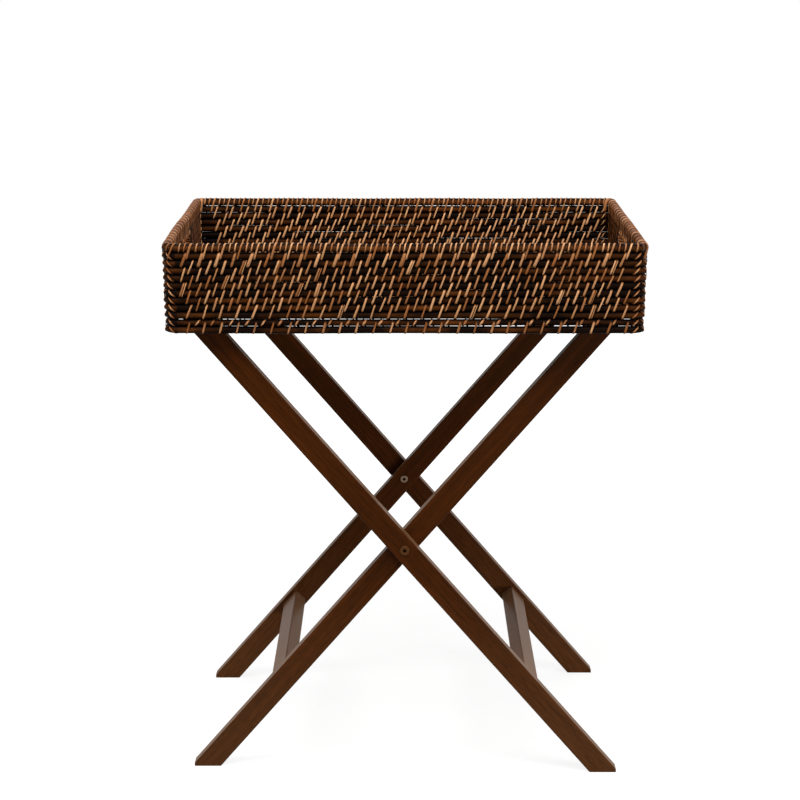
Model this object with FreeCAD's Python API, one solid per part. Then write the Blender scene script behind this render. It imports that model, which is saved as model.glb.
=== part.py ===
import FreeCAD, Part
import math
import os

# Butler's tray table: a coiled rattan tray that lifts off a folding cross-legged stand.
# Millimetres, +Z up, X along the tray, the front at -Y.
# The origin is on the floor under the tray's middle.

# Tray: a rim cane over courses of thinner cane
tray_length = 600.0           # over the rim
tray_depth = 440.0            # over the rim
rim_diameter = 10.5
cane_diameter = 8.7
cane_gap = 0.55               # between neighbouring canes, where the binding passes through
wall_courses = 11
skirt_courses = 2             # lowest courses, which hang below the base round the stand
wall_flare = 1.5              # the rim stands out this much further than the lowest course
corner_radius = 12.0          # of a course's centre line

# Hand holes: one in each end wall
hand_hole_length = 100.0
hand_hole_courses = 3         # courses that stop at the hole
courses_over_hand_hole = 2    # whole courses between the rim and the hole

# Stand: two frames of legs, crossed at a pivot halfway up
stand_height = 604.3          # floor to the level tops of the legs and rails
leg_width = 29.0              # seen from the front
leg_thickness = 19.5          # front to back
leg_gap = 1.7                 # between an outer leg and the inner leg beside it
end_play = 9.0                # skirt to the legs' tips, along the tray
side_play = 11.2              # skirt to the outer legs, across the tray
tip_ease = 3.5                # taken off the sharp tips of the level cuts
arris = 1.5                   # rounding of the long edges

# Cross pieces: a rail at the top of each frame and a stretcher near its feet
cross_thickness = 19.0        # across the legs
rail_width = 36.0             # along the legs, before the top is cut level
stretcher_width = 28.0        # along the legs
stretcher_drop = 244.0        # pivot to stretcher, along the legs
tenon_length = 13.0
tenon_width = 15.0            # along the legs
tenon_thickness = 9.0
rail_tenon_drop = 19.0        # level top to the rail's tenon, along the legs

# Pivots: a bolt from the outside, a sleeve nut from the inside, a washer between the legs
sleeve_diameter = 8.0
sleeve_reach = 13.0           # into the outer leg
sleeve_flange_diameter = 10.6
sleeve_flange_height = 1.5
sleeve_floor = 2.5            # between the threaded bore and the key socket
bolt_diameter = 5.8
bolt_head_diameter = 13.0
bolt_head_height = 2.4
bolt_head_sink = 1.2          # depth of the recess that the head sits in
bolt_end_gap = 3.0            # bolt's tip to the sleeve's floor
key_size = 4.0                # across the flats of both key sockets
key_depth = 1.6
washer_diameter = 20.0
washer_side_gap = 0.2         # washer to inner leg

# Straps: two bands of webbing that stop the stand from opening further
strap_width = 38.0
strap_thickness = 1.6
strap_offset = 95.0           # middle of the stand to the middle of a strap
strap_tail = 26.0             # length tacked to a rail's outer face
tacks_per_tail = 3
tack_spacing = 12.0
tack_head_diameter = 7.0
tack_head_height = 1.8
tack_shank_diameter = 2.0
tack_length = 11.0

# Clearances
seat_clearance = 0.3          # between a loose piece and its seat
joint_clearance = 0.1         # tenon in mortise, strap on rail, tack in strap
running_clearance = 0.05      # radial, for round pieces in their holes
bolt_hole_clearance = 0.3     # radial, bolt in the outer leg
mortise_floor_clearance = 1.0

# Levels and outlines that follow from the sizes above
cane_pitch = cane_diameter + cane_gap
base_course = wall_courses - skirt_courses
base_axis = (stand_height + joint_clearance + strap_thickness + seat_clearance
             + cane_diameter / 2)
first_course_axis = base_axis + (base_course - 1) * cane_pitch
rim_axis = first_course_axis + (rim_diameter + cane_diameter) / 2 + cane_gap
rim_half_length = (tray_length - rim_diameter) / 2
rim_half_depth = (tray_depth - rim_diameter) / 2
hand_hole_first = courses_over_hand_hole + 1
hand_hole_last = courses_over_hand_hole + hand_hole_courses

# The stand's spread and depth follow from the skirt that fits over it
skirt_half_length = rim_half_length - wall_flare - cane_diameter / 2
skirt_half_depth = rim_half_depth - wall_flare - cane_diameter / 2
pivot_height = stand_height / 2
tip_reach = skirt_half_length - end_play
lean = (math.acos(leg_width / 2 / math.hypot(pivot_height, tip_reach))
        - math.atan2(pivot_height, tip_reach))
leg_reach = pivot_height / math.cos(lean)
outer_half_depth = skirt_half_depth - side_play
inner_half_depth = outer_half_depth - leg_thickness - leg_gap
rail_corner_reach = leg_reach + cross_thickness / 2 * math.tan(lean)
OUTER = -1
INNER = 1

X_AXIS = FreeCAD.Vector(1, 0, 0)
Y_AXIS = FreeCAD.Vector(0, 1, 0)
Z_AXIS = FreeCAD.Vector(0, 0, 1)
ORIGIN = FreeCAD.Vector(0, 0, 0)


def point(x, y, z):
    return FreeCAD.Vector(x, y, z)


def mirrored(shape):
    """The same piece on the other side of the middle, front to back."""
    return shape.mirror(ORIGIN, Y_AXIS)


def box_about(centre, size_x, size_y, size_z):
    corner = centre - point(size_x, size_y, size_z) / 2
    return Part.makeBox(size_x, size_y, size_z, corner)


def rounded_bar(size_x, size_y, size_z, long_axis):
    """A bar about the origin whose edges along long_axis are rounded."""
    bar = box_about(ORIGIN, size_x, size_y, size_z)
    long_edges = []
    for edge in bar.Edges:
        if abs(edge.tangentAt(edge.FirstParameter).dot(long_axis)) > 0.5:
            long_edges.append(edge)
    return bar.makeFillet(arris, long_edges)


def rod(diameter, start, direction, length):
    return Part.makeCylinder(diameter / 2, length, start, direction)


def stood_up(shape, side):
    """Lean a piece made along +Z about the origin, and lift it to the pivot."""
    leaning = shape.copy()
    leaning.rotate(ORIGIN, Y_AXIS, side * math.degrees(lean))
    leaning.translate(point(0, 0, pivot_height))
    return leaning


def cut_level(shape):
    """Cut a leaning piece level at the floor and the top, and ease its sharp tips."""
    length = 2 * (tip_reach - tip_ease)
    return shape.common(box_about(point(0, 0, pivot_height), length, tray_depth, stand_height))


# Tray

def course_axis(course):
    return first_course_axis - (course - 1) * cane_pitch


def course_inset(course):
    return wall_flare * course / wall_courses


def half_loop(half_length, half_depth, level, stop):
    """Centre line of the front half of a course, from one end wall round to the other."""
    turn = corner_radius * (1 - math.cos(math.pi / 4))
    near = half_depth - corner_radius
    along = half_length - corner_radius
    left_arc = Part.Arc(point(-half_length, -near, level),
                        point(-half_length + turn, -half_depth + turn, level),
                        point(-along, -half_depth, level))
    right_arc = Part.Arc(point(along, -half_depth, level),
                         point(half_length - turn, -half_depth + turn, level),
                         point(half_length, -near, level))
    return [
        Part.makeLine(point(-half_length, -stop, level), point(-half_length, -near, level)),
        left_arc.toShape(),
        Part.makeLine(point(-along, -half_depth, level), point(along, -half_depth, level)),
        right_arc.toShape(),
        Part.makeLine(point(half_length, -near, level), point(half_length, -stop, level)),
    ]


def bent_cane(diameter, half_length, half_depth, level, stop):
    """Half of a course, as round cane that ends square at the distance stop from the middle."""
    spine = Part.Wire(half_loop(half_length, half_depth, level, stop))
    section = Part.makeCircle(diameter / 2, point(-half_length, -stop, level), Y_AXIS)
    return spine.makePipeShell([Part.Wire(section)], True, False)


def whole_course(diameter, half_length, half_depth, level):
    front = bent_cane(diameter, half_length, half_depth, level, 0)
    return front.fuse(mirrored(front)).removeSplitter()


def hand_hole_posts():
    """Short upright canes that close the ends of the courses at the hand holes."""
    upper = course_axis(hand_hole_first - 1) - cane_diameter / 2 - seat_clearance
    lower = course_axis(hand_hole_last + 1) + cane_diameter / 2 + seat_clearance
    middle_course = (hand_hole_first + hand_hole_last) / 2
    post_x = rim_half_length - course_inset(middle_course)
    post_y = (hand_hole_length + cane_diameter) / 2
    posts = []
    for x in (-post_x, post_x):
        for y in (-post_y, post_y):
            posts.append(rod(cane_diameter, point(x, y, lower), Z_AXIS, upper - lower))
    return Part.makeCompound(posts)


def base_canes():
    """Straight canes side by side, which fill the base course from end to end."""
    inside_length = rim_half_length - course_inset(base_course) - cane_diameter / 2
    inside_depth = rim_half_depth - course_inset(base_course) - cane_diameter / 2
    inside_corner = corner_radius - cane_diameter / 2
    count = int(2 * inside_depth // cane_pitch)
    pitch = 2 * inside_depth / count
    canes = []
    for index in range(count):
        y = (index - (count - 1) / 2) * pitch
        reach = inside_length - seat_clearance
        if abs(y) + cane_diameter / 2 > inside_depth - inside_corner:
            reach = inside_length - inside_corner
        canes.append(rod(cane_diameter, point(-reach, y, base_axis), X_AXIS, 2 * reach))
    return Part.makeCompound(canes)


def tray_pieces():
    pieces = {
        "tray_rim": whole_course(rim_diameter, rim_half_length, rim_half_depth, rim_axis),
        "hand_hole_posts": hand_hole_posts(),
        "base_canes": base_canes(),
    }
    stop = hand_hole_length / 2 + cane_diameter + seat_clearance
    for course in range(1, wall_courses + 1):
        half_length = rim_half_length - course_inset(course)
        half_depth = rim_half_depth - course_inset(course)
        level = course_axis(course)
        name = f"course_{course:02d}"
        if hand_hole_first <= course <= hand_hole_last:
            front = bent_cane(cane_diameter, half_length, half_depth, level, stop)
            pieces[name + "_front"] = front
            pieces[name + "_rear"] = mirrored(front)
        else:
            pieces[name] = whole_course(cane_diameter, half_length, half_depth, level)
    return pieces


# Stand

def mortise(half_depth, height):
    """The hole for a tenon, in the inner face of a front leg."""
    mouth = -half_depth + leg_thickness
    depth = tenon_length + mortise_floor_clearance
    return box_about(point(0, mouth - depth / 2, height),
                     tenon_thickness + 2 * joint_clearance,
                     depth,
                     tenon_width + 2 * joint_clearance)


def rail_tenon_height():
    return leg_reach - rail_tenon_drop


def leg_blank(half_depth):
    """A front leg along +Z with its mortises, before the level cuts."""
    bar = rounded_bar(leg_width, leg_thickness, 2 * (leg_reach + leg_width), Z_AXIS)
    bar.translate(point(0, -half_depth + leg_thickness / 2, 0))
    for height in (rail_tenon_height(), -stretcher_drop):
        bar = bar.cut(mortise(half_depth, height))
    return bar


def outer_leg():
    """The bolt passes through the outer leg, and the sleeve nut reaches into it."""
    face = -outer_half_depth
    back = face + leg_thickness
    bolt_hole = rod(bolt_diameter + 2 * bolt_hole_clearance, point(0, face, 0), Y_AXIS, leg_thickness)
    head_recess = rod(bolt_head_diameter + 2 * bolt_hole_clearance, point(0, face, 0),
                      Y_AXIS, bolt_head_sink)
    sleeve_hole = rod(sleeve_diameter + 2 * running_clearance, point(0, back, 0),
                      -Y_AXIS, sleeve_reach + joint_clearance)
    blank = leg_blank(outer_half_depth).cut(bolt_hole).cut(head_recess).cut(sleeve_hole)
    return cut_level(stood_up(blank, OUTER))


def inner_leg():
    """The inner leg turns on the sleeve nut."""
    hole = rod(sleeve_diameter + 2 * running_clearance, point(0, -inner_half_depth, 0),
               Y_AXIS, leg_thickness)
    return cut_level(stood_up(leg_blank(inner_half_depth).cut(hole), INNER))


def cross_piece(half_depth, width, height, tenon_height):
    """A bar between the legs of one frame, with a tenon at each end."""
    span = 2 * (half_depth - leg_thickness)
    bar = rounded_bar(cross_thickness, span, width, Y_AXIS)
    bar.translate(point(0, 0, height))
    tenons = box_about(point(0, 0, tenon_height), tenon_thickness, span + 2 * tenon_length, tenon_width)
    return bar.fuse(tenons).removeSplitter()


def top_rail(half_depth, side):
    height = rail_corner_reach - rail_width / 2
    rail = cross_piece(half_depth, rail_width, height, rail_tenon_height())
    for tack_hole in tail_rods(tack_shank_diameter + 2 * running_clearance, side):
        rail = rail.cut(tack_hole)
    return cut_level(stood_up(rail, side))


def stretcher(half_depth, side):
    bar = cross_piece(half_depth, stretcher_width, -stretcher_drop, -stretcher_drop)
    return stood_up(bar, side)


# Pivot hardware, made for the front pivot on its own axis

def key_socket(mouth, direction):
    """A hexagonal socket for a key, cut into a head."""
    corner = key_size / math.sqrt(3)
    corners = []
    for index in range(7):
        angle = index * math.pi / 3
        corners.append(point(corner * math.cos(angle), mouth, corner * math.sin(angle)))
    return Part.Face(Part.makePolygon(corners)).extrude(direction * key_depth)


def at_pivots(shape):
    shape.translate(point(0, 0, pivot_height))
    return Part.makeCompound([shape, mirrored(shape)])


def sleeve_span():
    """The sleeve nut's open end and its flange, along Y at the front pivot."""
    open_end = -outer_half_depth + leg_thickness - sleeve_reach
    flange = -inner_half_depth + leg_thickness + washer_side_gap
    return open_end, flange


def pivot_bolts():
    seat = -outer_half_depth + bolt_head_sink
    open_end, flange = sleeve_span()
    tip = flange + sleeve_flange_height - key_depth - sleeve_floor - bolt_end_gap
    head = rod(bolt_head_diameter, point(0, seat, 0), -Y_AXIS, bolt_head_height)
    crown = [edge for edge in head.Edges if edge.BoundBox.YMax < seat - bolt_head_height / 2]
    head = head.makeFillet(bolt_head_height / 3, crown)
    shank = rod(bolt_diameter, point(0, seat, 0), Y_AXIS, tip - seat)
    bolt = head.fuse(shank).cut(key_socket(seat - bolt_head_height, Y_AXIS))
    return at_pivots(bolt)


def pivot_sleeve_nuts():
    open_end, flange = sleeve_span()
    crown = flange + sleeve_flange_height
    tube = rod(sleeve_diameter, point(0, open_end, 0), Y_AXIS, flange - open_end)
    collar = rod(sleeve_flange_diameter, point(0, flange, 0), Y_AXIS, sleeve_flange_height)
    rim = [edge for edge in collar.Edges if edge.BoundBox.YMin > flange + sleeve_flange_height / 2]
    collar = collar.makeFillet(sleeve_flange_height / 3, rim)
    bore = rod(bolt_diameter + 2 * running_clearance, point(0, open_end, 0), Y_AXIS,
               crown - key_depth - sleeve_floor - open_end)
    return at_pivots(tube.fuse(collar).cut(bore).cut(key_socket(crown, -Y_AXIS)))


def pivot_washers():
    seat = -outer_half_depth + leg_thickness
    thickness = leg_gap - washer_side_gap
    disc = rod(washer_diameter, point(0, seat, 0), Y_AXIS, thickness)
    hole = rod(sleeve_diameter + 2 * running_clearance, point(0, seat, 0), Y_AXIS, thickness)
    return at_pivots(disc.cut(hole))


# Straps and their tacks

def tail_places():
    """Where the tacks stand: across the stand, and along a rail from the pivot."""
    places = []
    for strap_y in (-strap_offset, strap_offset):
        for index in range(tacks_per_tail):
            y = strap_y + (index - (tacks_per_tail - 1) / 2) * tack_spacing
            places.append((y, rail_corner_reach - strap_tail / 2))
    return places


def tail_rods(diameter, side):
    """Rods through the tacks' places, from under the tack heads into a rail."""
    face = cross_thickness / 2 + 2 * joint_clearance + strap_thickness
    rods = []
    for y, height in tail_places():
        rods.append(rod(diameter, point(side * face, y, height), -side * X_AXIS, tack_length))
    return rods


def tack_heads(side):
    """Low domes, each a cap of a sphere whose middle lies inside the rail."""
    face = cross_thickness / 2 + 2 * joint_clearance + strap_thickness
    rim = tack_head_diameter / 2
    radius = (rim ** 2 + tack_head_height ** 2) / (2 * tack_head_height)
    depth = radius - tack_head_height
    edge_angle = math.degrees(math.asin(depth / radius))
    heads = []
    for y, height in tail_places():
        middle = point(side * (face - depth), y, height)
        heads.append(Part.makeSphere(radius, middle, side * X_AXIS, edge_angle, 90, 360))
    return heads


def strap_tacks(side):
    tacks = []
    for head, shank in zip(tack_heads(side), tail_rods(tack_shank_diameter, side)):
        tacks.append(stood_up(head.fuse(shank), side))
    return Part.makeCompound(tacks)


def strap(strap_y):
    """Webbing from the outer face of one rail, over both level tops, to the other outer face."""
    corner = pivot_height * math.tan(lean) + cross_thickness / 2 / math.cos(lean)
    tail_x = corner - strap_tail * math.sin(lean)
    tail_z = stand_height - strap_tail * math.cos(lean)
    y = strap_y - strap_width / 2
    route = Part.makePolygon([point(-tail_x, y, tail_z), point(-corner, y, stand_height),
                              point(corner, y, stand_height), point(tail_x, y, tail_z)])
    inside = route.makeOffset2D(joint_clearance, 0, False, True)
    section = inside.makeOffset2D(strap_thickness, 0, True, True)
    band = section.extrude(Y_AXIS * strap_width)
    for side in (OUTER, INNER):
        for tack_hole in tail_rods(tack_shank_diameter + 2 * joint_clearance, side):
            band = band.cut(stood_up(tack_hole, side))
    return band


def stand_pieces():
    front_legs = {"outer": outer_leg(), "inner": inner_leg()}
    pieces = {}
    for frame, half_depth, side in (("outer", outer_half_depth, OUTER), ("inner", inner_half_depth, INNER)):
        pieces[frame + "_leg_front"] = front_legs[frame]
        pieces[frame + "_leg_rear"] = mirrored(front_legs[frame])
        pieces[frame + "_top_rail"] = top_rail(half_depth, side)
        pieces[frame + "_stretcher"] = stretcher(half_depth, side)
        pieces[frame + "_strap_tacks"] = strap_tacks(side)
    pieces["pivot_bolts"] = pivot_bolts()
    pieces["pivot_sleeve_nuts"] = pivot_sleeve_nuts()
    pieces["pivot_washers"] = pivot_washers()
    pieces["strap_front"] = strap(-strap_offset)
    pieces["strap_rear"] = strap(strap_offset)
    return pieces


os.makedirs("parts", exist_ok=True)
for node, shape in {**tray_pieces(), **stand_pieces()}.items():
    shape.exportStep(f"parts/{node}.step")
print(f"legs lean {math.degrees(lean):.2f} degrees, pivot at {pivot_height:.2f}, rim axis at {rim_axis:.2f}")
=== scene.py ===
"""A butler's tray table: a coiled rattan tray that lifts off a folding cross-legged stand.

The settings hold the sizes and colours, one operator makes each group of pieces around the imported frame,
and main() calls the operators in order. Metres, +Z up, the front at -Y.
"""

import math
import random

import bpy
from bpy.props import FloatProperty, FloatVectorProperty, IntProperty, PointerProperty
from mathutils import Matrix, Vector


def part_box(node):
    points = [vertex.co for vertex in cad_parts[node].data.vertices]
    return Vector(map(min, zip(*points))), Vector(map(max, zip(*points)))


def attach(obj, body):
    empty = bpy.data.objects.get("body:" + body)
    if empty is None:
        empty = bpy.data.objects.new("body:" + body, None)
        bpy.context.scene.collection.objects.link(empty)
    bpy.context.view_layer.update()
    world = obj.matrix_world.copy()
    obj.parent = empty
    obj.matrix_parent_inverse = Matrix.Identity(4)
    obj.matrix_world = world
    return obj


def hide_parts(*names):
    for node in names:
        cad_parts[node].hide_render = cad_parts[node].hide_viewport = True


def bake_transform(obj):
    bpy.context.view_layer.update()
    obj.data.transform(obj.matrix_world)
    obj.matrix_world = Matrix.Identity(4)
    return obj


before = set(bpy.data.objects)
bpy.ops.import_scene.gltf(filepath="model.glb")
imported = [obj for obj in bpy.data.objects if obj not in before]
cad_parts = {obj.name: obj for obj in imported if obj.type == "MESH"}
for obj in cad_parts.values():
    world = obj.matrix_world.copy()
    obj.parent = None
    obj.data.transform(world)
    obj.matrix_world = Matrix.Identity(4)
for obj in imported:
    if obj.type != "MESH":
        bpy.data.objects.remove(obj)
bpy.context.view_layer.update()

bl_info = {
    "name": "Butler's tray table",
    "version": (1, 0, 0),
    "blender": (4, 5, 0),
    "location": "View3D > Sidebar > Tray table",
    "description": "Weaves the rattan tray and finishes the folding stand",
    "category": "Object",
}

MM = 0.001
X_AXIS = Vector((1, 0, 0))
Y_AXIS = Vector((0, 1, 0))
UP = Vector((0, 0, 1))

# The tray's walls in the order that a course runs: front, right, rear, left.
# Each has its way out and its way along.
WALLS = ((-Y_AXIS, X_AXIS), (X_AXIS, Y_AXIS), (Y_AXIS, -X_AXIS), (-X_AXIS, -Y_AXIS))
RIGHT_WALL = 1
LEFT_WALL = 3
ON_END_WALL = 0.3             # how far a place faces left or right to count as an end wall, bends included
SQUARE_ON_END = 0.99          # the same without the bends
CORNER_RADIUS = 12 * MM       # of a course's centre line
CUT_SETBACK = 1.5 * MM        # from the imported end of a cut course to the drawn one
SKIRT_DROP = 2 * MM           # at most, from the base's underside to the top of the skirt's upper cane
BASE_GAP = 0.55 * MM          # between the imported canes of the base

# Room for the peel, as shares of its thickness
RIM_ROOM = 0.1                # off the rim's radius
BASE_ROOM = 0.5               # off the radius of the base's canes
BASE_LIFT = 0.4               # of the base's canes, clear of the straps
BASE_END_ROOM = 1.2           # off each end of the base's canes

# How finely the canes and strands are drawn
CANE_SIDES = 12
CANE_STEP = 11 * MM
BASE_STEP = 4 * CANE_STEP
BEND_STEPS = 6
SPAN_STEPS = 30               # of a strap between the rails' outer edges, from its middle
TURN_STEPS = 4                # of a strap round an edge, and down a tail

# Degrees round a cane, from its outer side towards its top
STRAND_REACH = 78.0           # where a stitch goes out of sight in the gap
UNDERSIDE = -90
FULL_TURN = 355               # a turn that doesn't quite meet itself
SKIRT_STITCH_TOP = 30         # where the lowest stitches end on the skirt's upper cane

# Split peel: flat underneath and rounded on top, as shares of its width and thickness
PEEL_SECTION = ((-0.5, 0.0), (-0.36, 0.8), (0.0, 1.0), (0.36, 0.8), (0.5, 0.0))
# How much painted shade darkens a strand where it goes into the gaps, and how narrow it is, from its ends
# inward, ring by ring
END_SHADE = (2.0, 1.2, 0.25, 0.0)
END_WIDTH = (0.55, 0.85, 1.0)
END_THICKNESS = 0.4           # of the first and last ring
# From the least to the most, as shares of the plain size
WIDTH_SPREAD = (0.78, 1.2)
THICKNESS_SPREAD = (0.85, 1.1)
CLIMB_SPREAD = (0.85, 1.15)
# From the deepest to the palest strand: below 0 the peel is drawn darker than its own colours
PEEL_TONES = (0.4, 1.0)
# Darker than the inner strands' tones: for the stitches outside, the outer corner arms and the rim's front
# and rear
OUTSIDE_TONES = (-0.05, 0.75)
# Painted shade: the strands inside the end walls and the turns round the end rims are drawn this dark
SHADED_TONES = (-0.85, -0.35)
GRIP_TONES = (-0.2, 0.45)
PLAIN_TONE = 0.5              # of the straps, whose webbing is all one shade

# Widths of strands, as shares of the peel's
FIRST_ROW_WIDTH = 1.4         # under the rim
DOUBLED_WIDTH = 0.5           # of the odd second strand beside a stitch
CORNER_WIDTH = 0.8
INNER_CORNER_WIDTH = 0.6
JAMB_WIDTH = 0.95
EDGE_WIDTH = 1.15
# The same with the tones, for the rim's stitches and the turns between them
SIDE_STITCH = (1.0, OUTSIDE_TONES)
SIDE_TURN = (0.72, OUTSIDE_TONES)
GRIP_STITCH = (1.8, GRIP_TONES)
GRIP_TURN = (1.3, SHADED_TONES)

# Where the stitches go
DOUBLED_SHARE = 0.05          # of the stitches outside
SKIRT_CLIMB = 0.65            # of the lowest stitches, as a share of the others' climb
RIM_CLIMB = 1.9               # the same over the rim
RIM_ADVANCE = 6 * MM          # along the rim in one turn
OUTSIDE_ROOM = 7 * MM         # before a bend
INSIDE_ROOM = 10 * MM
AFTER_BEND = 5 * MM
HOLE_ROOM = 6 * MM            # beside a hand hole
BASE_START = 0.25             # of a stitch's spacing, before the first stitch of the base

STRAP_THICKNESS = 1.6 * MM
KEY_SOCKET_RADIUS = 2.2 * MM
REAR_PAINTED_LIGHT = 1.25          # painted light: the rear legs' wood is drawn this much brighter


def linear(hex_colour):
    """An sRGB hex value as linear light."""
    channels = [int(hex_colour[place:place + 2], 16) / 255 for place in (1, 3, 5)]
    lit = [c / 12.92 if c <= 0.04045 else ((c + 0.055) / 1.055) ** 2.4 for c in channels]
    return (*lit, 1.0)


def length_setting(name, description, default):
    return FloatProperty(name=name, description=description, default=default, unit="LENGTH", precision=4)


def power_setting(name, description, default):
    return FloatProperty(name=name, description=description, default=default, unit="POWER")


def colour_setting(name, description, hex_colour):
    return FloatVectorProperty(name=name, description=description, default=linear(hex_colour),
                               size=4, subtype="COLOR", min=0, max=1)


# Settings

class WeaveSettings(bpy.types.PropertyGroup):
    """The canes of the tray and the split peel that binds them"""

    seed: IntProperty(name="Seed", description="Sets how the strands differ from each other", default=5)
    wall_swell: length_setting("Swell", "Added to the radius of the wall's canes", 0.32 * MM)
    skirt_gap: length_setting("Skirt gap", "Off the radius of the skirt's upper cane and jambs", 0.15 * MM)
    cane_waviness: length_setting("Waviness", "How far a cane strays from its line", 0.2 * MM)
    loose_waviness: length_setting("Loose waviness", "For the rim and the skirt's upper cane", 0.45 * MM)
    stitch_spacing: length_setting("Stitch spacing", "From stitch to stitch along a course", 20.8 * MM)
    stitch_climb: length_setting("Climb", "How far a stitch moves along as it climbs two canes", 8.2 * MM)
    row_drift: length_setting("Row drift", "How far each row stands back from the one above", 0.8 * MM)
    stitch_stray: length_setting("Stray", "How far a stitch may stand off its place", 1.3 * MM)
    peel_width: length_setting("Peel width", "Width of the split peel", 2.65 * MM)
    peel_thickness: length_setting("Peel thickness", "Thickness of the split peel", 1.0 * MM)
    rim_wraps: IntProperty(name="Rim wraps", description="Turns round the rim between stitches", default=2)
    edge_spacing: length_setting("Edge spacing", "From turn to turn over and under the hand holes", 4.2 * MM)
    jamb_spacing: length_setting("Jamb spacing", "From turn to turn beside the hand holes", 3.4 * MM)


class FinishSettings(bpy.types.PropertyGroup):
    """The colours of the materials"""

    cane_dark: colour_setting("Cane, dark", "Stained cane where the stain took well", "#140803")
    cane_brown: colour_setting("Cane, brown", "Stained cane where the stain is thin", "#5a3010")
    rim_dark: colour_setting("Rim, dark", "The rim's cane where the stain took well", "#3a1f0d")
    rim_brown: colour_setting("Rim, brown", "The rim's cane where the stain is thin", "#653a1a")
    peel_deep: colour_setting("Peel, deep", "The darkest strands of split peel", "#8a5228")
    peel_pale: colour_setting("Peel, pale", "The palest strands of split peel", "#d8a475")
    wood_dark: colour_setting("Wood, dark", "Stained wood, late growth and pores", "#331703")
    wood_brown: colour_setting("Wood, brown", "Stained wood, early growth", "#452006")
    # Painted reflection of the pale floor, mixed into the legs towards the feet
    wood_floor_reflection: colour_setting("Wood, scuffed", "Stained wood where feet and brooms dull it", "#7a5638")
    wood_sheen: colour_setting("Wood, sheen", "The lacquer's haze at a low angle", "#dcb088")
    browned_steel: colour_setting("Browned steel", "The pivot bolts", "#472c18")
    # Zinc's grey, darkened and browned: a painted reflection of the stained wood round it
    zinc: colour_setting("Zinc", "The sleeve nuts and washers", "#6b5848")
    brass: colour_setting("Brass", "The strap tacks", "#a9823c")
    webbing: colour_setting("Webbing", "The straps' yarn", "#33231a")


class StudioSettings(bpy.types.PropertyGroup):
    """The camera and the light"""

    lens: FloatProperty(name="Lens", description="Focal length", default=96.0, unit="CAMERA")
    camera_aside: length_setting("Camera aside", "Camera to the right of the table's middle", -6 * MM)
    camera_distance: length_setting("Camera distance", "Camera in front of the table's middle", 2.811)
    camera_height: length_setting("Camera height", "Camera above the floor", 1.094)
    camera_tilt: FloatProperty(name="Camera tilt", description="How far the camera looks down",
                               default=math.radians(12.82), subtype="ANGLE")
    overhead_power: power_setting("Overhead", "Power of the softbox over the table", 16.0)
    front_power: power_setting("Front", "Power of the wide softbox in front, above", 84.0)
    low_power: power_setting("Low", "Power of the low strip light in front, for the legs", 2.5)
    fill: FloatProperty(name="Fill", description="Even light from all around", default=0.08)
    floor: colour_setting("Floor", "Studio paper as the eye sees it", "#e6e6e4")
    floor_bounce: colour_setting("Floor bounce", "What the paper throws back up at the table", "#9a9894")


# Canes

class Sway:
    """How a grown cane strays from its line: a few slow waves aside and up"""

    def __init__(self, amount, seed):
        rng = random.Random(seed)
        self.amount = amount
        self.waves = [(rng.randint(3, 11), rng.uniform(0, math.tau), rng.uniform(0, math.tau))
                      for _ in range(3)]

    def at(self, share):
        turn = math.tau * share
        aside = sum(math.sin(count * turn + start) for count, start, _ in self.waves)
        rise = sum(math.sin(count * turn + start) for count, _, start in self.waves)
        return self.amount * aside / 2, self.amount * rise / 2


class BentCane:
    """A course of the tray: its radius and its centre line, a rectangle with round corners"""

    def __init__(self, nodes, swell, sway):
        corners = [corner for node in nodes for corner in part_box(node)]
        high = Vector([max(corner[axis] for corner in corners) for axis in range(3)])
        packed_radius = (high.z - min(corner.z for corner in corners)) / 2
        half_length = high.x - packed_radius
        half_depth = high.y - packed_radius
        self.nodes = nodes
        self.sway = sway
        self.radius = packed_radius + swell
        self.level = high.z - packed_radius
        self.reaches = (half_depth, half_length) * 2
        self.straights = tuple(2 * (half - CORNER_RADIUS) for half in (half_length, half_depth)) * 2
        self.bend = CORNER_RADIUS * math.pi / 2
        self.length = sum(self.straights) + len(WALLS) * self.bend

    def at(self, distance):
        """A point of the centre line, with the way out of the tray and the way up."""
        place, out = self.on_line(distance % self.length)
        aside, rise = self.sway.at(distance / self.length)
        return place + out * aside + UP * rise, out, UP

    def on_line(self, rest):
        """A point of the line without its sway, and the way out, at what is left of a distance."""
        for (out, along), straight, reach in zip(WALLS, self.straights, self.reaches):
            if rest < straight:
                return out * reach + along * (rest - straight / 2) + UP * self.level, out
            rest -= straight
            if rest < self.bend:
                turn = rest / CORNER_RADIUS
                middle = out * (reach - CORNER_RADIUS) + along * (straight / 2)
                out = out * math.cos(turn) + along * math.sin(turn)
                return middle + out * CORNER_RADIUS + UP * self.level, out
            rest -= self.bend
        raise ValueError("no such place on a course")

    def wall_start(self, wall):
        return sum(self.straights[:wall]) + wall * self.bend

    def on_end_wall(self, wall, y):
        """The distance to a place on the right or the left wall."""
        forward = WALLS[wall][1].y
        return self.wall_start(wall) + self.straights[wall] / 2 + forward * y

    def stations(self, first, last):
        """Distances for the rings of a drawn cane, close together only in the bends."""
        places = []
        for wall, straight in enumerate(self.straights):
            start = self.wall_start(wall)
            steps = math.ceil(straight / CANE_STEP)
            places += [start + straight * step / steps for step in range(steps)]
            places += [start + straight + self.bend * step / BEND_STEPS for step in range(BEND_STEPS)]
        places += [place + self.length for place in places]
        return [first] + [place for place in places if first < place < last] + [last]


class StraightCane:
    """A cane along a straight line, with two ways across it that stand for out and up"""

    def __init__(self, start, way, length, radius, out, up, sway):
        self.start = start
        self.way = way
        self.length = length
        self.radius = radius
        self.out = out
        self.up = up
        self.sway = sway

    def at(self, distance):
        aside, rise = self.sway.at(distance / self.length)
        return self.start + self.way * distance + self.out * aside + self.up * rise, self.out, self.up

    def stations(self, step):
        steps = math.ceil(self.length / step)
        return [self.length * place / steps for place in range(steps + 1)]


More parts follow.
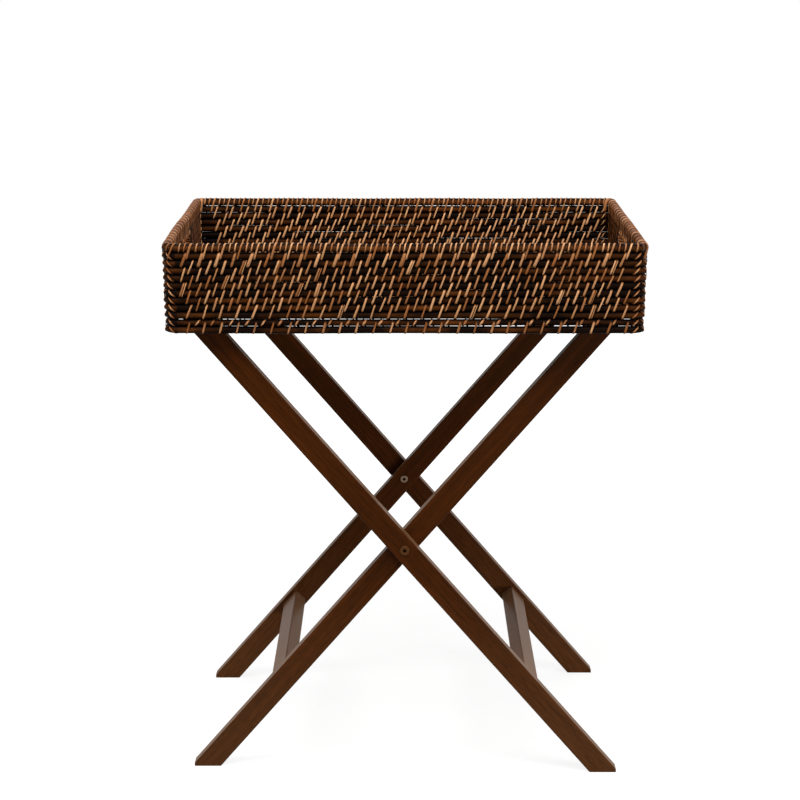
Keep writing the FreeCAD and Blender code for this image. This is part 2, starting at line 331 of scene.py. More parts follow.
def read_courses(weave):
    """The rim and the courses below it, from the top down."""
    names = sorted(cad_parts)
    base_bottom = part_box("base_canes")[0].z
    rim_sway = Sway(weave.loose_waviness, weave.seed)
    courses = [BentCane(["tray_rim"], -RIM_ROOM * weave.peel_thickness, rim_sway)]
    while True:
        stem = f"course_{len(courses):02d}"
        nodes = [name for name in names if name.startswith(stem)]
        if not nodes:
            return courses
        tops_skirt = base_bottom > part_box(nodes[0])[1].z > base_bottom - SKIRT_DROP
        swell = -weave.skirt_gap if tops_skirt else weave.wall_swell
        waviness = weave.loose_waviness if tops_skirt else weave.cane_waviness
        courses.append(BentCane(nodes, swell, Sway(waviness, weave.seed + len(courses))))


def read_base(weave):
    """The canes of the tray's base: flat ovals that touch, clear of the straps by the peel under them."""
    low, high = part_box("base_canes")
    packed_diameter = high.z - low.z
    radius = packed_diameter / 2 - BASE_ROOM * weave.peel_thickness
    level = (low.z + high.z) / 2 + BASE_LIFT * weave.peel_thickness
    count = round((high.y - low.y) / (packed_diameter + BASE_GAP))
    pitch = (high.y - low.y - packed_diameter) / (count - 1)
    flat = pitch / (2 * radius)
    canes = []
    for index in range(count):
        y = low.y + packed_diameter / 2 + index * pitch
        reach = high.x - BASE_END_ROOM * weave.peel_thickness
        if index in (0, count - 1):
            reach -= CORNER_RADIUS - packed_diameter / 2
        start = Vector((-reach, y, level))
        sway = Sway(weave.cane_waviness / 2, weave.seed + index)
        canes.append(StraightCane(start, X_AXIS, 2 * reach, radius, UP, Y_AXIS * flat, sway))
    return canes


def read_jambs(weave):
    """The upright canes beside the hand holes."""
    low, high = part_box("hand_hole_posts")
    course_low, course_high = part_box("course_01")
    packed_radius = (course_high.z - course_low.z) / 2
    radius = packed_radius - weave.skirt_gap
    still = Sway(0.0, weave.seed)
    jambs = []
    for x in (low.x + packed_radius, high.x - packed_radius):
        for y in (low.y + packed_radius, high.y - packed_radius):
            start = Vector((x, y, low.z))
            jambs.append(StraightCane(start, UP, high.z - low.z, radius, X_AXIS, -Y_AXIS, still))
    return jambs


# Meshes

class Sweeps:
    """Canes and strands swept ring by ring, gathered into one mesh"""

    def __init__(self):
        self.points = []
        self.faces = []
        self.places = []      # across and along the sweep, for each corner of each face
        # The tones hold painted shade too: a strand is drawn darker towards its ends.
        self.tones = []       # how deep or pale each strand is

    def add(self, rings, along, tones, closed=False):
        """Join rings of points. along gives the distance of each ring, and of the return to the first."""
        first = len(self.points)
        sides = len(rings[0])
        for ring in rings:
            self.points.extend(ring)
        self.tones.extend(tone for tone in tones for _ in range(sides))
        for row in range(len(rings) if closed else len(rings) - 1):
            here = first + row * sides
            there = first + (row + 1) % len(rings) * sides
            for side in range(sides):
                after = (side + 1) % sides
                left = side / sides
                right = (side + 1) / sides
                self.faces.append((here + side, here + after, there + after, there + side))
                self.places += [(left, along[row]), (right, along[row]),
                                (right, along[row + 1]), (left, along[row + 1])]
        if not closed:
            last = len(self.points) - sides
            self.faces.append(tuple(range(first + sides - 1, first - 1, -1)))
            self.faces.append(tuple(range(last, last + sides)))
            self.places += [(0.5, along[0])] * sides + [(0.5, along[-1])] * sides

    def add_strand(self, points, normals, width, thickness, tone):
        """A strand of split peel that lies on a surface and thins out where it goes out of sight, drawn
        darker there as painted shade.
        """
        last = len(points) - 1
        rings = []
        tones = []
        for index, (point, normal) in enumerate(zip(points, normals)):
            way = points[min(index + 1, last)] - points[max(index - 1, 0)]
            across = way.cross(normal).normalized()
            from_end = min(index, last - index)
            wide = width * END_WIDTH[min(from_end, len(END_WIDTH) - 1)]
            thin = 1.0 if from_end else END_THICKNESS
            rings.append([point + across * (wide * a) + normal * (thickness * thin * h)
                          for a, h in PEEL_SECTION])
            tones.append(tone - END_SHADE[min(from_end, len(END_SHADE) - 1)])
        self.add(rings, distances_along(points), tones)

    def make(self, name, material):
        mesh = bpy.data.meshes.new(name)
        mesh.from_pydata(self.points, [], self.faces)
        places = mesh.uv_layers.new(name="Strand")
        places.data.foreach_set("uv", [value for place in self.places for value in place])
        mesh.attributes.new("tone", "FLOAT", "POINT").data.foreach_set("value", self.tones)
        mesh.shade_smooth()
        mesh.materials.append(material)
        piece = bpy.data.objects.new(name, mesh)
        bpy.context.scene.collection.objects.link(piece)
        return piece


def distances_along(points):
    """How far each point is from the first, along the line through them."""
    along = [0.0]
    for before, after in zip(points, points[1:]):
        along.append(along[-1] + (after - before).length)
    return along


def draw_cane(sweeps, cane, distances, rng, closed=False):
    turns = [-math.pi / 2 - math.tau * side / CANE_SIDES for side in range(CANE_SIDES)]
    rings = []
    for distance in distances[:-1] if closed else distances:
        rings.append([on_cane(cane, turn, distance)[0] for turn in turns])
    sweeps.add(rings, distances, [rng.random()] * len(rings), closed)


def on_cane(cane, angle, distance):
    """A point of a cane's skin, and the way that the skin faces there."""
    centre, out, up = cane.at(distance)
    way = out * math.cos(angle) + up * math.sin(angle)
    return centre + way * cane.radius, way.normalized()


def arc(cane, first, last, steps=4):
    """Places round a cane, in degrees from its outer side towards its top."""
    return [(cane, math.radians(first + (last - first) * step / steps)) for step in range(steps + 1)]


def outside_pair(lower, upper):
    """Over the outer sides of two canes, from the gap under the lower one to the gap over the upper one."""
    return arc(lower, -STRAND_REACH, 0) + arc(upper, 0, STRAND_REACH)


def inside_pair(lower, upper):
    """Over the inner sides of two canes, from the top down."""
    return arc(upper, 180 - STRAND_REACH, 180) + arc(lower, 180, 180 + STRAND_REACH)


def lay_strand(sweeps, path, share, advance, weave, rng, width=1.0, tones=PEEL_TONES):
    """Lay a strand round its canes, while it moves along them by advance about a share of their length."""
    gone = distances_along([on_cane(cane, angle, share * cane.length)[0] for cane, angle in path])
    points = []
    normals = []
    for (cane, angle), here in zip(path, gone):
        distance = share * cane.length + advance * (here / gone[-1] - 0.5)
        point, normal = on_cane(cane, angle, distance)
        points.append(point)
        normals.append(normal)
    full_width = weave.peel_width * width * rng.uniform(*WIDTH_SPREAD)
    thickness = weave.peel_thickness * rng.uniform(*THICKNESS_SPREAD)
    sweeps.add_strand(points, normals, full_width, thickness, rng.uniform(*tones))


# Materials

MIX_A = 6
MIX_B = 7
MIX_COLOUR = 2


def add_node(tree, kind, inputs, **settings):
    """Add a node with its properties. An input is a value, an output, or a node for its first output."""
    node = tree.nodes.new("ShaderNode" + kind)
    for name, value in settings.items():
        setattr(node, name, value)
    for name, value in inputs.items():
        if isinstance(value, bpy.types.Node):
            value = value.outputs[0]
        if isinstance(value, bpy.types.NodeSocket):
            tree.links.new(value, node.inputs[name])
        else:
            node.inputs[name].default_value = value
    return node


def new_material(name):
    material = bpy.data.materials.new(name)
    material.use_nodes = True
    material.node_tree.nodes.clear()
    return material, material.node_tree


def finish_material(tree, inputs):
    shader = add_node(tree, "BsdfPrincipled", inputs)
    add_node(tree, "OutputMaterial", {"Surface": shader})


def strand_place(tree):
    """The place round and along a cane or strand, and its tone."""
    place = add_node(tree, "UVMap", {}, uv_map="Strand")
    return place, add_node(tree, "Attribute", {}, attribute_name="tone").outputs["Fac"]


def grain(tree, place, repeats, inputs, **settings):
    """Noise drawn out by how often it repeats along each axis of a place."""
    stretched = add_node(tree, "VectorMath", {0: place, 1: repeats}, operation="MULTIPLY")
    return add_node(tree, "TexNoise", {"Vector": stretched, "Scale": 1.0, **inputs}, **settings)


def stained_cane(name, dark, brown):
    # Rattan core, drawn round, stained and oiled: near black where the stain took, brown where it is thin,
    # with fine pores along its length and only a dull shine.
    material, tree = new_material(name)
    place, tone = strand_place(tree)
    girth = 28 * MM
    patches_round = 0.6
    patch_length = 70 * MM
    pore_width = 0.7 * MM
    pore_length = 9 * MM
    canes_apart = 60.0
    own_patches = add_node(tree, "Math", {0: tone, 1: canes_apart}, operation="MULTIPLY")
    patches = grain(tree, place, (patches_round, 1 / patch_length, 1), {"W": own_patches, "Detail": 3.0},
                    noise_dimensions="4D")
    bare = add_node(tree, "MapRange", {"Value": patches, "From Min": 0.46, "From Max": 0.72})
    pores = grain(tree, place, (girth / pore_width, 1 / pore_length, 1), {"Detail": 2.0})
    colour = add_node(tree, "Mix", {0: bare, MIX_A: dark, MIX_B: brown}, data_type="RGBA")
    depth = add_node(tree, "MapRange", {"Value": pores, "From Min": 0.3, "From Max": 0.65,
                                        "To Min": 0.55, "To Max": 1.15})
    # The seams to the canes above and below lie at 0 and at a half of the way round. Painted shade draws
    # the cane nearly black towards them.
    round_place = add_node(tree, "SeparateXYZ", {0: place})
    turn = add_node(tree, "Math", {0: round_place, 1: math.tau}, operation="MULTIPLY")
    above_or_below = add_node(tree, "Math", {0: turn}, operation="COSINE")
    seam = add_node(tree, "Math", {0: above_or_below}, operation="ABSOLUTE")
    clear = add_node(tree, "MapRange", {"Value": seam, "From Min": 0.25, "From Max": 0.8,
                                        "To Min": 1.0, "To Max": 0.06})
    seam_shaded_depth = add_node(tree, "Math", {0: depth, 1: clear}, operation="MULTIPLY")
    streaked = add_node(tree, "VectorMath", {0: colour.outputs[MIX_COLOUR], "Scale": seam_shaded_depth},
                        operation="SCALE")
    bump = add_node(tree, "Bump", {"Height": pores, "Strength": 0.35, "Distance": 0.25 * MM})
    finish_material(tree, {"Base Color": streaked, "Roughness": 0.5, "IOR": 1.5, "Specular IOR Level": 0.02,
                           "Normal": bump})
    return material


def split_peel(finish):
    # Rattan peel, split and scraped flat, varnished: honey brown, each strand its own shade, with fine fibres
    # along it, darker at its cut edges, and a soft shine on the skin.
    material, tree = new_material("split_rattan_peel")
    place, tone = strand_place(tree)
    girth = 6.3 * MM
    fibre_width = 0.45 * MM
    fibre_length = 14 * MM
    strands_apart = 90.0
    skin_middle = 0.4
    own_fibres = add_node(tree, "Math", {0: tone, 1: strands_apart}, operation="MULTIPLY")
    fibres = grain(tree, place, (girth / fibre_width, 1 / fibre_length, 1), {"W": own_fibres, "Detail": 2.0},
                   noise_dimensions="4D")
    shade = add_node(tree, "MapRange", {"Value": fibres, "From Min": 0.3, "From Max": 0.7,
                                        "To Min": -0.22, "To Max": 0.22})
    pale = add_node(tree, "Math", {0: tone, 1: shade}, operation="ADD", use_clamp=True)
    colour = add_node(tree, "Mix", {0: pale, MIX_A: finish.peel_deep, MIX_B: finish.peel_pale},
                      data_type="RGBA")
    # Tones below 0 draw the peel darker: painted shade at a strand's ends and on the shaded strands.
    depth = add_node(tree, "MapRange", {"Value": tone, "From Min": -1.0, "From Max": 0.0,
                                        "To Min": 0.08, "To Max": 1.0})
    # The rounded skin runs over four of the section's five sides, so its middle is at 0.4 of the way round.
    across = add_node(tree, "SeparateXYZ", {0: place})
    aside = add_node(tree, "Math", {0: across, 1: skin_middle}, operation="SUBTRACT")
    from_middle = add_node(tree, "Math", {0: aside}, operation="ABSOLUTE")
    edge = add_node(tree, "MapRange", {"Value": from_middle, "From Min": 0.18, "From Max": 0.36,
                                       "To Min": 1.0, "To Max": 0.3})
    edged = add_node(tree, "Math", {0: depth, 1: edge}, operation="MULTIPLY")
    stained = add_node(tree, "VectorMath", {0: colour.outputs[MIX_COLOUR], "Scale": edged}, operation="SCALE")
    bump = add_node(tree, "Bump", {"Height": fibres, "Strength": 0.3, "Distance": 0.15 * MM})
    finish_material(tree, {"Base Color": stained, "Roughness": 0.36, "IOR": 1.5, "Specular IOR Level": 0.1,
                           "Normal": bump})
    return material


def stained_hardwood(name, turn, finish, painted_light=1.0):
    # Close-grained hardwood, planed, stained dark brown and lacquered satin: long streaks of growth, short
    # pores, and a sheen that shows at a low angle. Painted light draws the wood paler where it is asked for.
    material, tree = new_material(name)
    place = add_node(tree, "TexCoord", {}).outputs["Object"]
    along = add_node(tree, "Mapping", {"Vector": place, "Rotation": turn})
    growth_width = 5 * MM
    growth_length = 170 * MM
    pore_width = 0.7 * MM
    pore_length = 16 * MM
    floor_reflection_height = 300 * MM
    growth = grain(tree, along, (1 / growth_width, 1 / growth_width, 1 / growth_length),
                   {"Detail": 3.0, "Distortion": 0.4})
    pores = grain(tree, along, (1 / pore_width, 1 / pore_width, 1 / pore_length), {"Detail": 2.0})
    early = add_node(tree, "MapRange", {"Value": growth, "From Min": 0.3, "From Max": 0.7})
    colour = add_node(tree, "Mix", {0: early, MIX_A: finish.wood_dark, MIX_B: finish.wood_brown},
                      data_type="RGBA").outputs[MIX_COLOUR]
    depth = add_node(tree, "MapRange", {"Value": pores, "From Min": 0.3, "From Max": 0.55,
                                        "To Min": 0.6 * painted_light, "To Max": 1.1 * painted_light})
    # Painted reflection of the pale floor: towards the feet the wood is drawn lighter and greyer.
    height = add_node(tree, "SeparateXYZ", {0: place}).outputs["Z"]
    floor_reflection_share = add_node(tree, "MapRange", {"Value": height, "From Min": 0.0, "From Max": floor_reflection_height,
                                        "To Min": 0.2, "To Max": 0.0}, interpolation_type="SMOOTHSTEP")
    with_floor_reflection = add_node(tree, "Mix", {0: floor_reflection_share, MIX_A: colour, MIX_B: finish.wood_floor_reflection}, data_type="RGBA")
    streaked = add_node(tree, "VectorMath", {0: with_floor_reflection.outputs[MIX_COLOUR], "Scale": depth},
                        operation="SCALE")
    rough = add_node(tree, "MapRange", {"Value": growth, "To Min": 0.3, "To Max": 0.42})
    bump = add_node(tree, "Bump", {"Height": pores, "Strength": 0.12, "Distance": 0.15 * MM})
    finish_material(tree, {"Base Color": streaked, "Roughness": rough, "IOR": 1.5, "Specular IOR Level": 0.03,
                           "Sheen Weight": 0.36, "Sheen Roughness": 0.35, "Sheen Tint": finish.wood_sheen,
                           "Normal": bump})
    return material


def worn_metal(name, colour, polish, stain_size, socket_radius=0.0):
    # Plated or coloured metal, turned and handled: an even sheen broken by faint stains, and painted shade in
    # the key socket.
    material, tree = new_material(name)
    place = add_node(tree, "TexCoord", {}).outputs["Object"]
    stains = add_node(tree, "TexNoise", {"Vector": place, "Scale": 1 / stain_size, "Detail": 4.0})
    depth = add_node(tree, "MapRange", {"Value": stains, "To Min": 0.7, "To Max": 1.2})
    stained = add_node(tree, "VectorMath", {0: colour[:3], "Scale": depth}, operation="SCALE")
    rough = add_node(tree, "MapRange", {"Value": stains, "To Min": polish, "To Max": polish + 0.2})
    # Painted shade: the key socket is drawn nearly black.
    if socket_radius:
        pivot = (0, 0, pivot_height())
        from_pivot = add_node(tree, "VectorMath", {0: place, 1: pivot}, operation="SUBTRACT")
        across_pivot = add_node(tree, "VectorMath", {0: from_pivot, 1: (1, 0, 1)}, operation="MULTIPLY")
        radius = add_node(tree, "VectorMath", {0: across_pivot}, operation="LENGTH").outputs["Value"]
        socket_shade = add_node(tree, "MapRange", {"Value": radius, "From Min": socket_radius * 0.95,
                                            "From Max": socket_radius * 1.05, "To Min": 0.04})
        stained = add_node(tree, "VectorMath", {0: stained, "Scale": socket_shade}, operation="SCALE")
    finish_material(tree, {"Base Color": stained, "Metallic": 1.0, "Roughness": rough})
    return material


def woven_webbing(finish):
    # Cotton webbing, woven in a plain rib: ribs across the band, soft and without shine.
    material, tree = new_material("cotton_webbing_woven")
    place = add_node(tree, "UVMap", {}, uv_map="Strand")
    rib_spacing = 1.6 * MM
    yarns_round = 50          # about 5.8 mm each on the band's faces: coarser than yarn, so that they show
    rib_place = add_node(tree, "VectorMath", {0: place, 1: (yarns_round, 1 / rib_spacing, 1)},
                         operation="MULTIPLY")
    yarn = add_node(tree, "TexChecker", {"Vector": rib_place, "Scale": 1.0}).outputs["Fac"]
    fuzz = add_node(tree, "TexNoise", {"Vector": rib_place, "Scale": 1.5, "Detail": 3.0})
    weave = add_node(tree, "Math", {0: yarn, 1: 0.35, 2: fuzz}, operation="MULTIPLY_ADD")
    depth = add_node(tree, "MapRange", {"Value": weave, "To Min": 0.6, "To Max": 1.3})
    colour = add_node(tree, "VectorMath", {0: finish.webbing[:3], "Scale": depth}, operation="SCALE")
    bump = add_node(tree, "Bump", {"Height": weave, "Strength": 0.6, "Distance": 0.3 * MM})
    finish_material(tree, {"Base Color": colour, "Roughness": 0.9, "Specular IOR Level": 0.1,
                           "Sheen Weight": 0.3, "Normal": bump})
    return material


def keep(name, make, *details):
    """The material of that name, made the first time that it is asked for."""
    return bpy.data.materials.get(name) or make(*details)


def binding_peel():
    return keep("split_rattan_peel", split_peel, bpy.context.scene.table_finish)


def dark_cane():
    finish = bpy.context.scene.table_finish
    name = "stained_rattan_core"
    return keep(name, stained_cane, name, finish.cane_dark, finish.cane_brown)


def rim_cane():
    finish = bpy.context.scene.table_finish
    name = "stained_rattan_rim"
    return keep(name, stained_cane, name, finish.rim_dark, finish.rim_brown)


# Places on the frame

def on_tray(piece, slot, *nodes):
    """Let a piece ride on the tray, and stand for CAD nodes where it replaces some."""
    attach(piece, "tray")
    if nodes:
        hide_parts(*nodes)


def on_end(cane, share):
    """Whether a place is on an end wall."""
    out = cane.at(share * cane.length)[1]
    return abs(out.x) > ON_END_WALL


def has_room(upper, lower, share, before):
    """Whether a stitch can bind two canes there: clear of the corners, and of the hand holes."""
    return not in_bend(upper, share, before) and not in_hand_hole(upper, lower, share)


def in_bend(cane, share, before):
    """Whether a place is in a corner, or too close before or after one for a stitch."""
    distance = share % 1 * cane.length
    for wall in range(len(WALLS)):
        bend = cane.wall_start(wall) + cane.straights[wall]
        if bend - before < distance < bend + cane.bend + AFTER_BEND or distance < AFTER_BEND:
            return True
    return False


def in_hand_hole(upper, lower, share):
    """Whether a stitch would bind a cane where it is cut away for a hand hole."""
    if len(upper.nodes) == 1 and len(lower.nodes) == 1:
        return False
    cut = upper if len(upper.nodes) > 1 else lower
    place, out, _ = upper.at(share * upper.length)
    return abs(out.x) > SQUARE_ON_END and abs(place.y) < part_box(cut.nodes[1])[0].y + HOLE_ROOM


def give_material(node, material):
    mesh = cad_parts[node].data
    mesh.materials.clear()
    mesh.materials.append(material)


def leg_lean():
    """How far the legs lean from upright: from the pivots to the outer stretcher."""
    low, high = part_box("outer_stretcher")
    middle = (low + high) / 2
    return math.atan2(middle.x, pivot_height() - middle.z)


def pivot_height():
    low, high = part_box("pivot_washers")
    return (low.z + high.z) / 2


# Operators

class TABLE_OT_courses(bpy.types.Operator):
    """Bend the rim and the courses of the wall"""

    bl_idname = "table.courses"
    bl_label = "Rim and courses"

    def execute(self, context):
        weave = context.scene.table_weave
        rng = random.Random(weave.seed)
        for index, cane in enumerate(read_courses(weave)):
            material = dark_cane() if index else rim_cane()
            for node, first, last in self.spans(cane):
                sweeps = Sweeps()
                closed = len(cane.nodes) == 1
                draw_cane(sweeps, cane, cane.stations(first, last), rng, closed)
                piece = sweeps.make(node + "_cane", material)
                on_tray(piece, "dark_cane", node)
        return {"FINISHED"}

    def spans(self, cane):
        """Each node of a course, with where it begins and ends along the course."""
        if len(cane.nodes) == 1:
            return [(cane.nodes[0], 0.0, cane.length)]
        front, rear = cane.nodes
        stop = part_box(rear)[0].y + CUT_SETBACK
        return [
            (front, cane.on_end_wall(LEFT_WALL, -stop), cane.length + cane.on_end_wall(RIGHT_WALL, -stop)),
            (rear, cane.on_end_wall(RIGHT_WALL, stop), cane.on_end_wall(LEFT_WALL, stop)),
        ]


class TABLE_OT_wall_binding(bpy.types.Operator):
    """Stitch the courses to each other, row by row, and lash the corners"""

    bl_idname = "table.wall_binding"
    bl_label = "Wall binding"

    def execute(self, context):
        weave = context.scene.table_weave
        rng = random.Random(weave.seed + 1)
        courses = read_courses(weave)
        outside = Sweeps()
        inside = Sweeps()
        for row in range(1, len(courses) - 1):
            self.stitch_row(courses, row, outside, inside, weave, rng)
        for cane in courses[1:]:
            self.lash_corners(cane, outside, inside, weave, rng)
        for name, sweeps in (("wall_binding_outside", outside), ("wall_binding_inside", inside)):
            on_tray(sweeps.make(name, binding_peel()), "cane_binding")
        return {"FINISHED"}

    def stitch_row(self, courses, row, outside, inside, weave, rng):
        """Bind a course to the one below it. Daylight over the skirt stays clear of stitches outside."""
        upper = courses[row]
        lower = courses[row + 1]
        last_row = len(courses) - 2
        climb = weave.stitch_climb
        over = outside_pair(lower, upper)
        back = inside_pair(lower, upper)
        if row == last_row - 1:
            over = arc(lower, -STRAND_REACH, STRAND_REACH, 6)
        if row == last_row:
            climb *= SKIRT_CLIMB
            over = arc(lower, -STRAND_REACH, 0) + arc(upper, 0, SKIRT_STITCH_TOP, 2)
        width = FIRST_ROW_WIDTH if row == 1 else 1.0
        count = round(upper.length / weave.stitch_spacing)
        for index in range(count):
            stray = rng.uniform(-1, 1) * weave.stitch_stray
            share = (index + row % 2 / 2) / count + (stray - row * weave.row_drift) / upper.length
            slope = climb * rng.uniform(*CLIMB_SPREAD)
            if has_room(upper, lower, share, OUTSIDE_ROOM):
                lay_strand(outside, over, share, slope, weave, rng, width, OUTSIDE_TONES)
                if rng.random() < DOUBLED_SHARE:
                    beside = share + weave.peel_width / upper.length
                    lay_strand(outside, over, beside, slope, weave, rng, DOUBLED_WIDTH, OUTSIDE_TONES)
            behind = share + 0.5 / count
            if has_room(upper, lower, behind, INSIDE_ROOM):
                # Painted shade: the strands inside the end walls are drawn darker
                tones = SHADED_TONES if on_end(upper, behind) else PEEL_TONES
                lay_strand(inside, back, behind, slope, weave, rng, 1.0, tones)

    def lash_corners(self, cane, outside, inside, weave, rng):
        """Two arms of peel on each corner, which meet at the top like a rafter, and one on the inside."""
        apex_turn = math.radians(38)
        arm = 10 * MM
        inner_arm = 13 * MM
        arm_stray = 1 * MM
        inner_setback = 2 * MM
        outer_side = arc(cane, -STRAND_REACH, STRAND_REACH, 6)
        inner_side = arc(cane, 180 - STRAND_REACH, 180 + STRAND_REACH, 6)
        for wall in range(len(WALLS)):
            apex = cane.wall_start(wall) + cane.straights[wall] + apex_turn * CORNER_RADIUS
            for side in (-1, 1):
                share = (apex + side * arm / 2 + rng.uniform(-1, 1) * arm_stray) / cane.length
                lay_strand(outside, outer_side, share, -side * arm, weave, rng, CORNER_WIDTH, OUTSIDE_TONES)
            share = (cane.wall_start(wall) - inner_setback) / cane.length
            lay_strand(inside, inner_side, share, inner_arm, weave, rng, INNER_CORNER_WIDTH)


class TABLE_OT_rim_binding(bpy.types.Operator):
    """Wrap the rim, and stitch it to the first course"""

    bl_idname = "table.rim_binding"
    bl_label = "Rim binding"

    def execute(self, context):
        weave = context.scene.table_weave
        rng = random.Random(weave.seed + 2)
        rim, first = read_courses(weave)[:2]
        sweeps = Sweeps()
        over_rim = (arc(first, -STRAND_REACH, 0) + arc(rim, 0, 180, 8)
                    + arc(first, 180, 180 + STRAND_REACH))
        round_rim = arc(rim, UNDERSIDE, UNDERSIDE + FULL_TURN, 14)
        count = round(rim.length / weave.stitch_spacing)
        turns = weave.rim_wraps + 1
        for index in range(count * turns):
            stray = rng.uniform(-1, 1) * weave.stitch_stray / 2
            share = index / (count * turns) + stray / rim.length
            on_grip = on_end(rim, share)
            if index % turns == 0:
                width, tones = GRIP_STITCH if on_grip else SIDE_STITCH
                lay_strand(sweeps, over_rim, share, weave.stitch_climb * RIM_CLIMB, weave, rng, width, tones)
            else:
                width, tones = GRIP_TURN if on_grip else SIDE_TURN
                lay_strand(sweeps, round_rim, share, RIM_ADVANCE, weave, rng, width, tones)
        on_tray(sweeps.make("rim_binding", binding_peel()), "cane_binding")
        return {"FINISHED"}


class TABLE_OT_hand_holes(bpy.types.Operator):
    """Stand the jambs beside the hand holes, and bind the holes' edges"""

    bl_idname = "table.hand_holes"
    bl_label = "Hand holes"

    def execute(self, context):
        weave = context.scene.table_weave
        rng = random.Random(weave.seed + 3)
        courses = read_courses(weave)
        jambs = read_jambs(weave)
        posts = Sweeps()
        sweeps = Sweeps()
        for jamb in jambs:
            draw_cane(posts, jamb, jamb.stations(CANE_STEP), rng)
            around = arc(jamb, 0, FULL_TURN, 14)
            for index in range(int(jamb.length / weave.jamb_spacing)):
                share = (index + 0.5) * weave.jamb_spacing / jamb.length
                lay_strand(sweeps, around, share, weave.jamb_spacing, weave, rng, JAMB_WIDTH, GRIP_TONES)
        cut = [index for index, cane in enumerate(courses) if len(cane.nodes) > 1]
        hole_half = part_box("hand_hole_posts")[1].y - 2 * jambs[0].radius
        for cane in (courses[min(cut) - 1], courses[max(cut) + 1]):
            for wall in (RIGHT_WALL, LEFT_WALL):
                self.bind_edge(sweeps, cane, wall, hole_half, weave, rng)
        on_tray(posts.make("hand_hole_jambs", dark_cane()), "dark_cane", "hand_hole_posts")
        on_tray(sweeps.make("hand_hole_binding", binding_peel()), "cane_binding")
        return {"FINISHED"}

    def bind_edge(self, sweeps, cane, wall, hole_half, weave, rng):
        """Turns of peel round the cane over or under a hole."""
        around = arc(cane, UNDERSIDE, UNDERSIDE + FULL_TURN, 12)
        count = round(2 * hole_half / weave.edge_spacing)
        for index in range(count):
            y = hole_half * (2 * (index + 0.5) / count - 1)
            share = cane.on_end_wall(wall, y) / cane.length
            lay_strand(sweeps, around, share, weave.edge_spacing, weave, rng, EDGE_WIDTH, GRIP_TONES)


class TABLE_OT_base(bpy.types.Operator):
    """Lay the canes of the tray's base and bind them to each other"""

    bl_idname = "table.base"
    bl_label = "Tray base"

    def execute(self, context):
        weave = context.scene.table_weave
        rng = random.Random(weave.seed + 4)
        canes = read_base(weave)
        drawn = Sweeps()
        for cane in canes:
            draw_cane(drawn, cane, cane.stations(BASE_STEP), rng)
        on_tray(drawn.make("tray_base_canes", dark_cane()), "dark_cane", "base_canes")
        top = Sweeps()
        underside = Sweeps()
        for row, (near, far) in enumerate(zip(canes, canes[1:])):
            count = int(near.length / weave.stitch_spacing)
            for index in range(count):
                stray = rng.uniform(-1, 1) * weave.stitch_stray / near.length
                share = (index + BASE_START + row % 2 / 2) / count + stray
                lay_strand(top, outside_pair(near, far), share, weave.stitch_climb, weave, rng)
                lay_strand(underside, inside_pair(near, far), share, weave.stitch_climb, weave, rng)
        for name, sweeps in (("base_binding_top", top), ("base_binding_underside", underside)):
            on_tray(sweeps.make(name, binding_peel()), "cane_binding")
        return {"FINISHED"}


class TABLE_OT_stand(bpy.types.Operator):
    """Stain and lacquer the legs, rails and stretchers"""

    bl_idname = "table.stand"
    bl_label = "Stand"

    def execute(self, context):
        finish = context.scene.table_finish
        lean = leg_lean()
        across = stained_hardwood("stained_hardwood_cross_pieces", (math.pi / 2, 0, 0), finish)
        for side, turn in (("outer", lean), ("inner", -lean)):
            for place, painted_light in (("front", 1.0), ("rear", REAR_PAINTED_LIGHT)):
                wood = stained_hardwood(f"stained_hardwood_{side}_{place}", (0, turn, 0), finish, painted_light)
                give_material(f"{side}_leg_{place}", wood)
            for node in (f"{side}_top_rail", f"{side}_stretcher"):
                give_material(node, across)
        return {"FINISHED"}


class TABLE_OT_hardware(bpy.types.Operator):
    """Finish the pivot bolts, sleeve nuts, washers and strap tacks"""

    bl_idname = "table.hardware"
    bl_label = "Pivots and tacks"

    def execute(self, context):
        finish = context.scene.table_finish
        browned = worn_metal("browned_steel_turned", finish.browned_steel, polish=0.28, stain_size=4 * MM,
                             socket_radius=KEY_SOCKET_RADIUS)
        zinc = worn_metal("zinc_plated_steel", finish.zinc, polish=0.22, stain_size=5 * MM,
                          socket_radius=KEY_SOCKET_RADIUS)
        brass = worn_metal("aged_brass_domed", finish.brass, polish=0.3, stain_size=3 * MM)
        metals = {"pivot_bolts": browned, "pivot_sleeve_nuts": zinc, "pivot_washers": zinc,
                  "outer_strap_tacks": brass, "inner_strap_tacks": brass}
        for node, metal in metals.items():
            give_material(node, metal)
        return {"FINISHED"}


